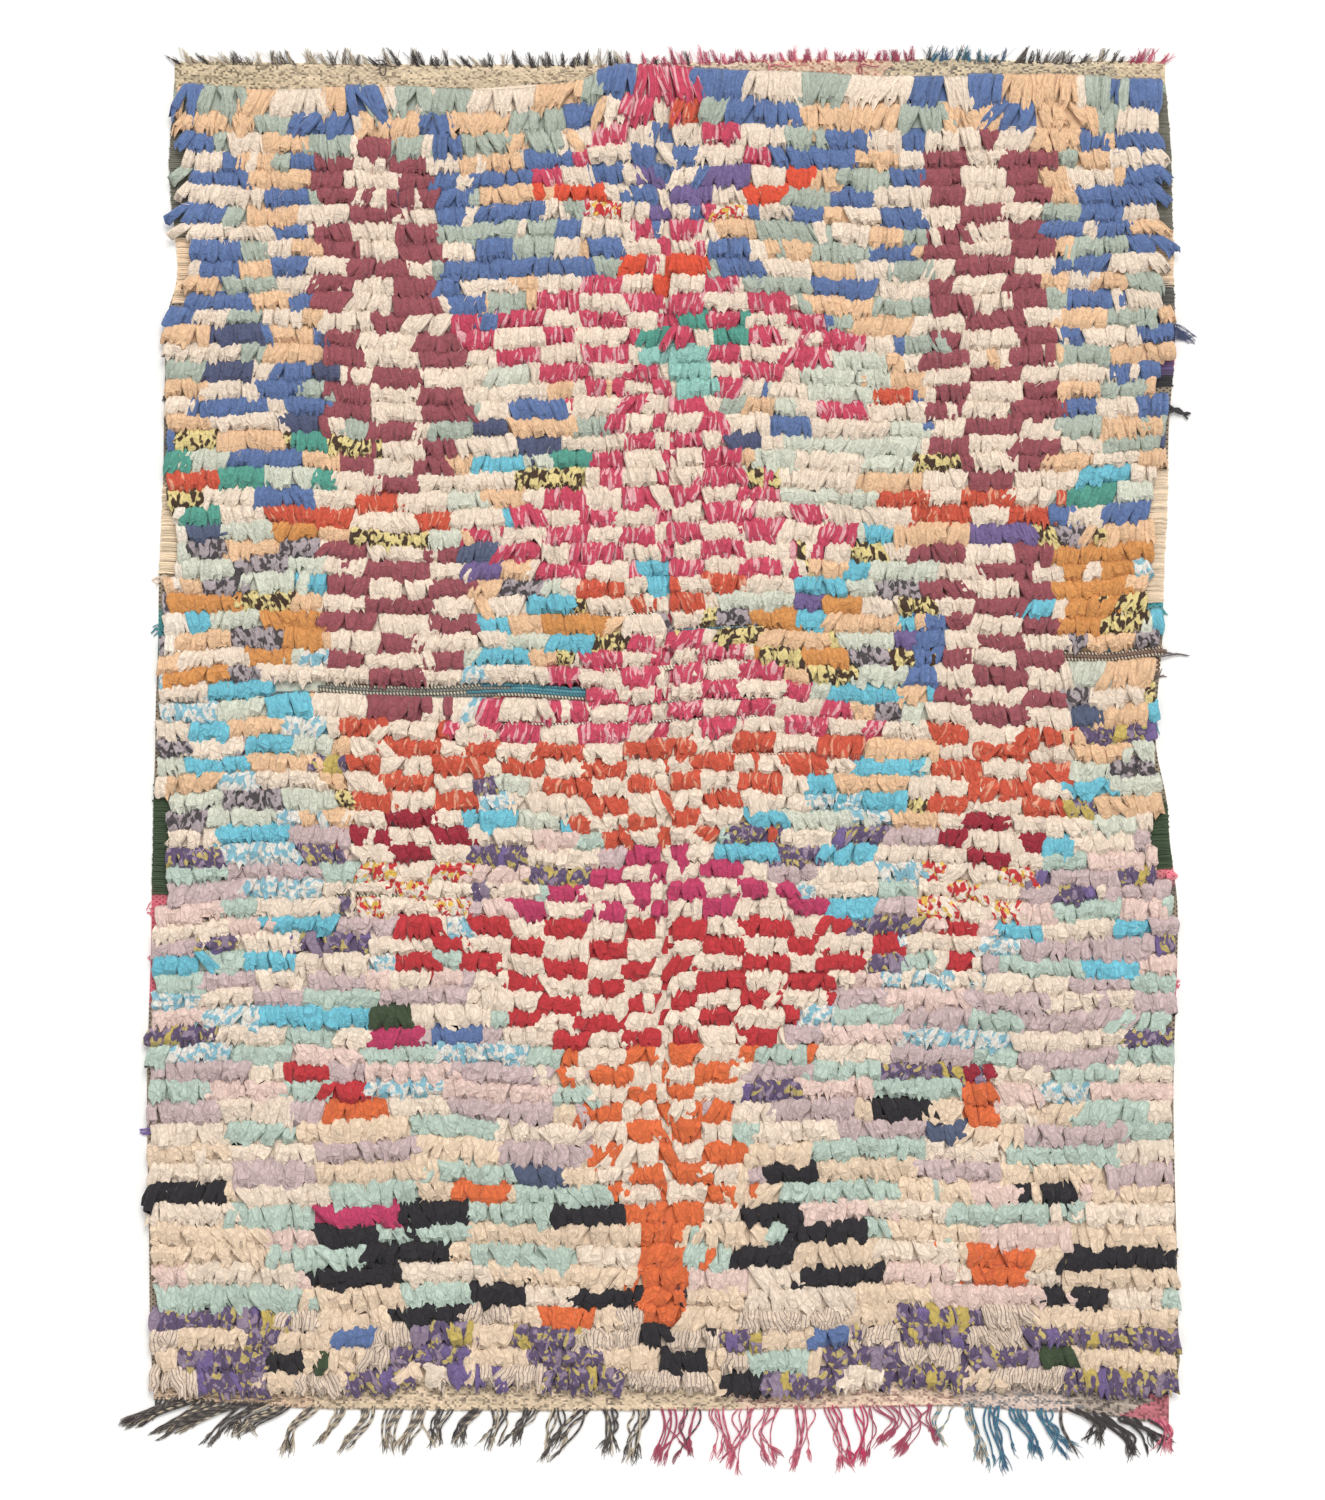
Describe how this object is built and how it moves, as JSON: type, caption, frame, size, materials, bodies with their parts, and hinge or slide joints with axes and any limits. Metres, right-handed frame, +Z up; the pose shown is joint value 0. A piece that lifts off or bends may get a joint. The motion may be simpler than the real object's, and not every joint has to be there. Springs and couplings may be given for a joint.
{
  "type": "boucherouite rug",
  "caption": "Long flat rug of rag strips knotted in wavy rows on a woven ground, with bare selvages, a crease down the middle and a fringe of warp ends at both ends.",
  "frame": {"origin": "middle of the rug's box, on the floor that it lies on", "axes": "+Z up, out of the pile; +Y along the length, to the end with the short fringe; +X across the width, to the right when the short fringe is away from the viewer"},
  "size_m": [1.6482, 2.2276, 0.0231],
  "materials": {
    "rag_pile": "matt cotton and jersey rags of many colours, crumpled",
    "warp_ends_top": "frayed matt wool and cotton yarn",
    "warp_ends_bottom": "plied matt wool and cotton yarn"
  },
  "bodies": {
    "root": {"rug": "rag_pile", "fringe_top": "warp_ends_top", "fringe_bottom": "warp_ends_bottom"}
  },
  "joints": []
}
